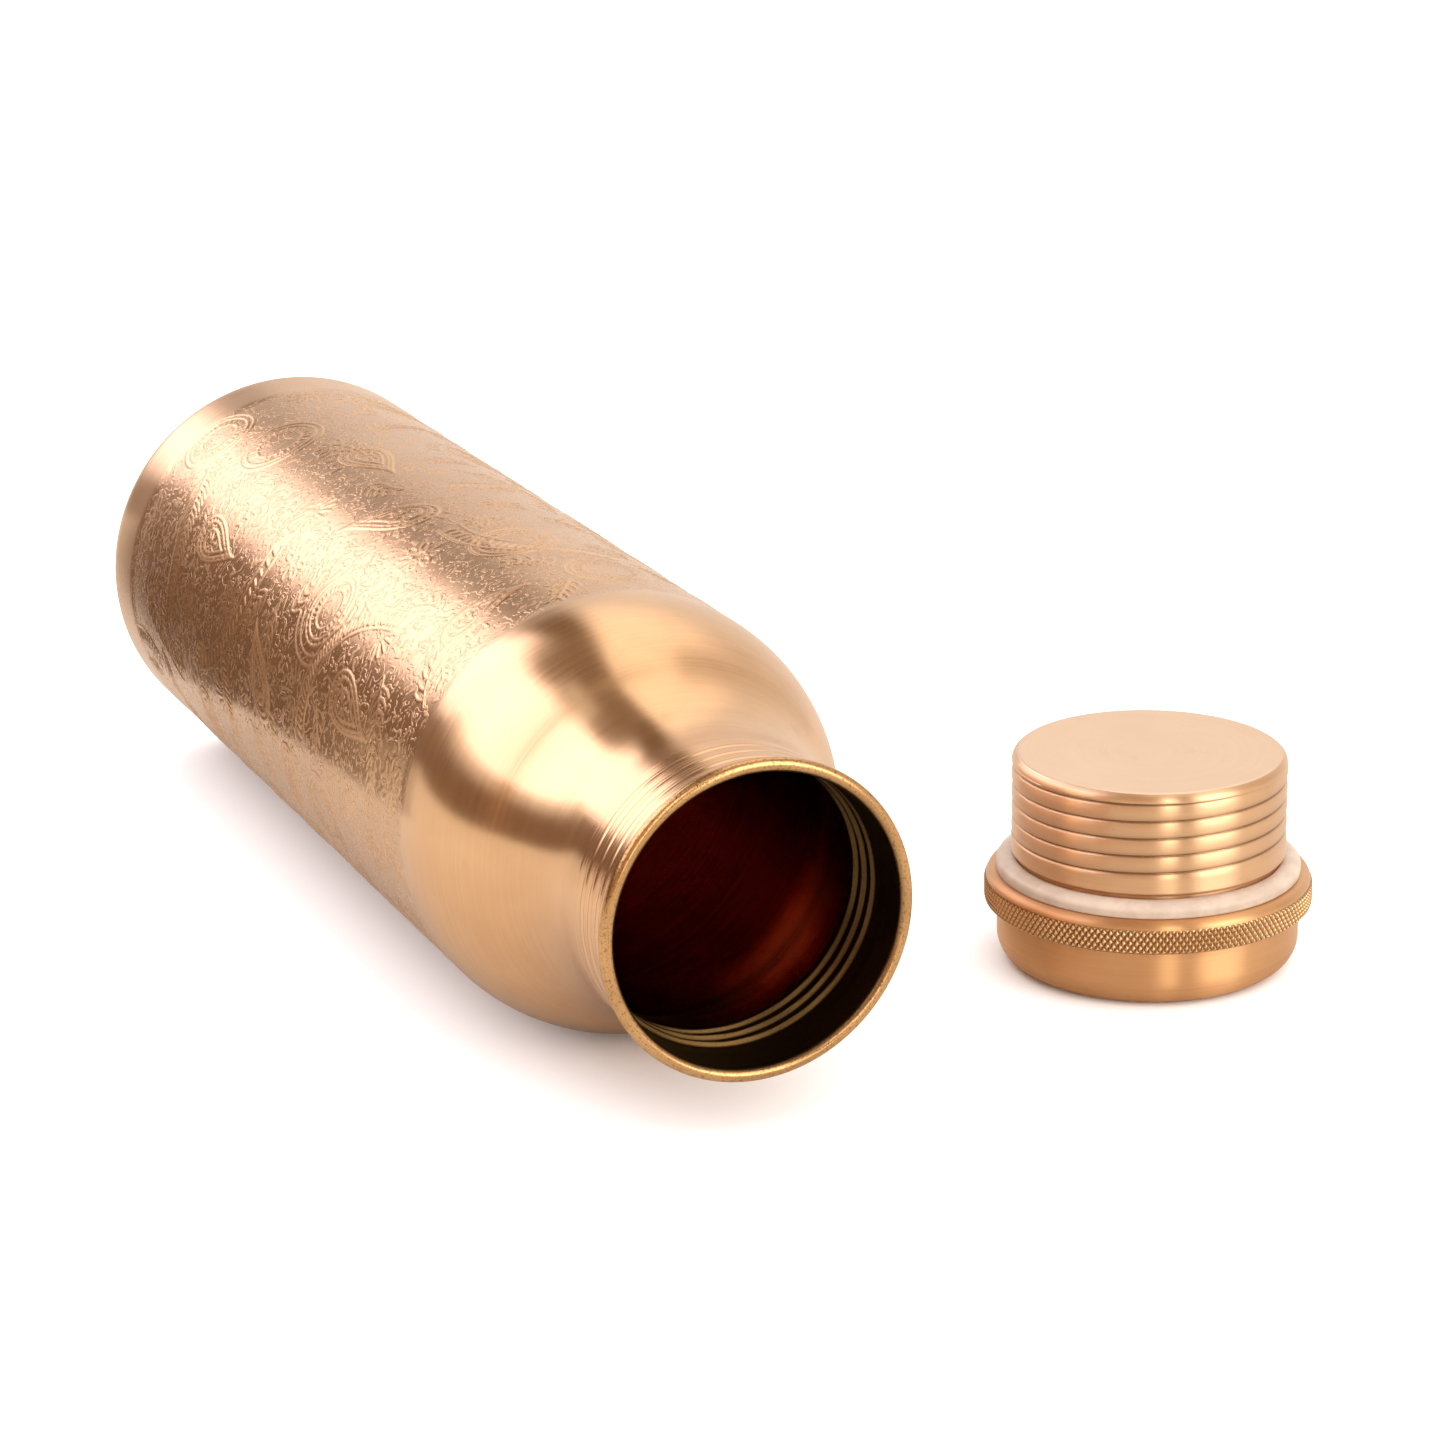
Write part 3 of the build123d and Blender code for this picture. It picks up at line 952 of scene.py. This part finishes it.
bottle = make_bottle()
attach(bottle, "bottle")
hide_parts("bottle_body")
cup = make_shell()
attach(cup, "cap")
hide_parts("cap_shell")
grip = make_ring()
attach(grip, "cap")
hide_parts("knurled_ring")
plug = make_plug()
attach(plug, "cap")
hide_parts("threaded_plug")
seal = make_gasket()
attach(seal, "seal")
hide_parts("gasket")


# ---- stage ----
def make_floor():
    """A pale floor. The camera sees it white and the metal mirrors it as grey card."""
    mesh = bpy.data.meshes.new("floor")
    half = 4.0
    gap = 0.02 * MM
    corners = [(-half, -half, 0), (half, -half, 0), (half, half, 0), (-half, half, 0)]
    mesh.from_pydata(corners, [], [(0, 1, 2, 3)])
    obj = bpy.data.objects.new("floor", mesh)
    bpy.context.scene.collection.objects.link(obj)
    obj.location.z = -gap
    material = bpy.data.materials.new("pale_floor")
    material.use_nodes = True
    t = Tree(material.node_tree)
    place = t.add("ShaderNodeTexCoord").outputs["Object"]
    seen = t.mix(t.noise(place, 3.0, 2.0), rgb(0.95, 0.95, 0.95), rgb(0.97, 0.97, 0.97))
    mirrored = t.mix(t.noise(place, 9.0, 2.0), rgb(0.50, 0.465, 0.425), rgb(0.53, 0.495, 0.455))
    colour = t.mix(t.add("ShaderNodeLightPath").outputs["Is Camera Ray"], mirrored, seen)
    shader = t.add("ShaderNodeBsdfDiffuse", {"Color": colour})
    t.add("ShaderNodeOutputMaterial", {"Surface": shader.outputs[0]})
    mesh.materials.append(material)


def make_card():
    """A dark card on the floor behind the bottle, which only its reflections show."""
    mesh = bpy.data.meshes.new("dark_card")
    a = (AXIS.x - 0.102, AXIS.y + 0.199)
    b = (AXIS.x - 0.0445, AXIS.y + 0.246)
    top = 0.075
    mesh.from_pydata([(*a, 0), (*b, 0), (*b, top), (*a, top)], [], [(0, 1, 2, 3)])
    obj = bpy.data.objects.new("dark_card", mesh)
    bpy.context.scene.collection.objects.link(obj)
    material = bpy.data.materials.new("dark_card")
    material.use_nodes = True
    t = Tree(material.node_tree)
    place = t.add("ShaderNodeTexCoord").outputs["Object"]
    colour = t.mix(t.noise(place, 30.0, 2.0), rgb(0.16, 0.11, 0.08), rgb(0.20, 0.14, 0.10))
    shader = t.add("ShaderNodeBsdfDiffuse", {"Color": colour})
    t.add("ShaderNodeOutputMaterial", {"Surface": shader.outputs[0]})
    mesh.materials.append(material)
    obj.visible_camera = False
    obj.visible_shadow = False
    obj.visible_diffuse = False


def make_world():
    """A studio round the object: pale walls, lit panels, soft boxes above and dark flags between them.

    turn is the direction round the object in degrees, 0 along +Y and growing towards +X, and rise the
    height above the horizon. Rays that light the surfaces see even light, and the camera sees white.
    """
    world = bpy.data.worlds.new("studio")
    bpy.context.scene.world = world
    world.use_nodes = True
    t = Tree(world.node_tree)
    way = t.add("ShaderNodeSeparateXYZ", {0: t.add("ShaderNodeTexCoord").outputs["Generated"]})
    x, y, z = way.outputs
    turn = t.math("MULTIPLY", t.math("ARCTAN2", x, y), 180 / math.pi)
    rise = t.math("MULTIPLY", t.math("ARCSINE", z), 180 / math.pi)
    front = t.math("MODULO", t.math("ADD", turn, 360.0), 360.0)

    def both(a, b):
        return t.math("MULTIPLY", a, b)

    def inside(value, low, high, soft=2.0):
        up = t.step(value, low - soft, low + soft)
        down = t.step(value, high - soft, high + soft, 1.0, 0.0)
        return both(up, down)

    # walls, darker on the mouth's side
    colour = t.mix(t.step(rise, -5, 70), rgb(0.84, 0.80, 0.80), rgb(1.1, 1.08, 1.08))
    behind = t.step(t.math("ABSOLUTE", turn), 80, 120)
    colour = t.mix(behind, colour, rgb(0.62, 0.50, 0.42))

    # upright panels in front of the mouth and the cap: from, to, soft edge, light
    for low, high, soft, tint in (
        (105, 128, 5, rgb(1.3, 1.15, 1.0)),
        (133, 169, 4, rgb(4.2, 4.0, 3.7)),
        (171, 185, 2, rgb(0.35, 0.25, 0.18)),
        (187, 198, 2, rgb(4.2, 4.0, 3.6)),
        (206, 268, 5, rgb(0.66, 0.42, 0.28)),
    ):
        panel = both(inside(front, low, high, soft), inside(rise, -4, 46, 4))
        colour = t.mix(panel, colour, tint)

    # one pale card, then dark flags: turn from and to, rise from and to, soft edge, light
    for turn_low, turn_high, rise_low, rise_high, soft, tint in (
        (20, 62, -12, 22, 5, rgb(1.02, 0.97, 0.93)),
        (68, 128, 14, 95, 20, rgb(0.74, 0.63, 0.55)),
        (-6, 12, 24, 95, 5, rgb(0.24, 0.16, 0.10)),
        (-66, 0, 50, 95, 7, rgb(0.30, 0.22, 0.17)),
        (-97, -18, -20, 17, 3, rgb(0.26, 0.17, 0.12)),
    ):
        flag = both(inside(turn, turn_low, turn_high, soft), inside(rise, rise_low, rise_high, soft))
        colour = t.mix(flag, colour, tint)
    zenith = both(inside(turn, -120, 8, 6), t.step(rise, 73, 79))
    colour = t.mix(zenith, colour, rgb(0.24, 0.17, 0.12))

    # main soft box along the bottle's left side, with a sloping top edge and a stepped lower one
    top = t.math("MINIMUM", t.math("MULTIPLY_ADD", turn, -0.42, 37.5), 64.0)
    low = t.step(turn, -36, -28, 23.0, 13.0)
    box = both(inside(turn, -100, -5, 4.0), t.step(t.math("SUBTRACT", rise, low), -1.0, 1.0))
    box = both(box, t.step(t.math("SUBTRACT", rise, top), -5.0, 5.0, 1.0, 0.0))
    colour = t.mix(box, colour, rgb(2.75, 2.6, 2.95))

    # overhead light on the right
    above = both(inside(front, 14, 62, 6), t.step(rise, 22, 48))
    crown = both(inside(front, 14, 96, 16), t.step(rise, 54, 68))
    colour = t.mix(t.math("MAXIMUM", above, crown), colour, rgb(1.65, 1.5, 1.4))

    path = t.add("ShaderNodeLightPath")
    colour = t.mix(path.outputs["Is Diffuse Ray"], colour, rgb(2.1, 2.1, 2.1))
    colour = t.mix(path.outputs["Is Camera Ray"], colour, rgb(1.0, 1.0, 1.0))
    shader = t.add("ShaderNodeBackground", {"Color": colour, "Strength": 1.0})
    t.add("ShaderNodeOutputWorld", {"Surface": shader.outputs[0]})


def make_camera():
    data = bpy.data.cameras.new("camera")
    data.sensor_width = 36.0
    data.lens = 102.8
    data.clip_start = 0.01
    data.clip_end = 20.0
    obj = bpy.data.objects.new("camera", data)
    bpy.context.scene.collection.objects.link(obj)
    turn = math.radians(CAMERA_TURN)
    down = math.radians(CAMERA_DOWN)
    level = math.cos(down)
    back = Vector((math.sin(turn) * level, -math.cos(turn) * level, math.sin(down)))
    obj.location = CAMERA_AIM + CAMERA_DISTANCE * back
    obj.rotation_mode = "QUATERNION"
    roll = Quaternion((0, 0, 1), math.radians(CAMERA_ROLL))
    obj.rotation_quaternion = (-back).to_track_quat("-Z", "Y") @ roll
    bpy.context.scene.camera = obj


make_floor()
make_card()
make_world()
make_camera()
bpy.context.scene.view_settings.view_transform = "Standard"
